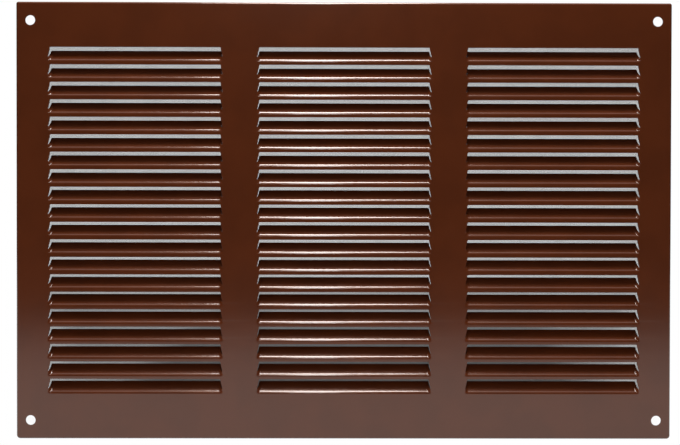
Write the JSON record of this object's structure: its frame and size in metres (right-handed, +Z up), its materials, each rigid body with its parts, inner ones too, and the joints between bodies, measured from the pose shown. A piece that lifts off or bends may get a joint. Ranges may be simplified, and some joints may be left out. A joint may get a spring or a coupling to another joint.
{
  "type": "vent grille",
  "caption": "Flat louvred metal vent grille with a folded rim, corner screw holes and a bound insect screen behind the louvres.",
  "frame": {"origin": "centre of the four fixing holes, in the plane of the painted face", "axes": "+X to the right along the wall, +Z up the wall, +Y from the face into the wall, so the face looks along -Y"},
  "size_m": [0.3, 0.0069, 0.2],
  "materials": {
    "brown_paint": "glossy brown enamel on sheet steel",
    "screen_wire": "dull galvanised wire",
    "zinc_strip": "dull zinc coated strip"
  },
  "bodies": {
    "root": {"face_plate": "brown_paint", "insect_screen": "screen_wire", "binding_top": "zinc_strip", "binding_bottom": "zinc_strip", "binding_left": "zinc_strip", "binding_right": "zinc_strip"}
  },
  "joints": []
}
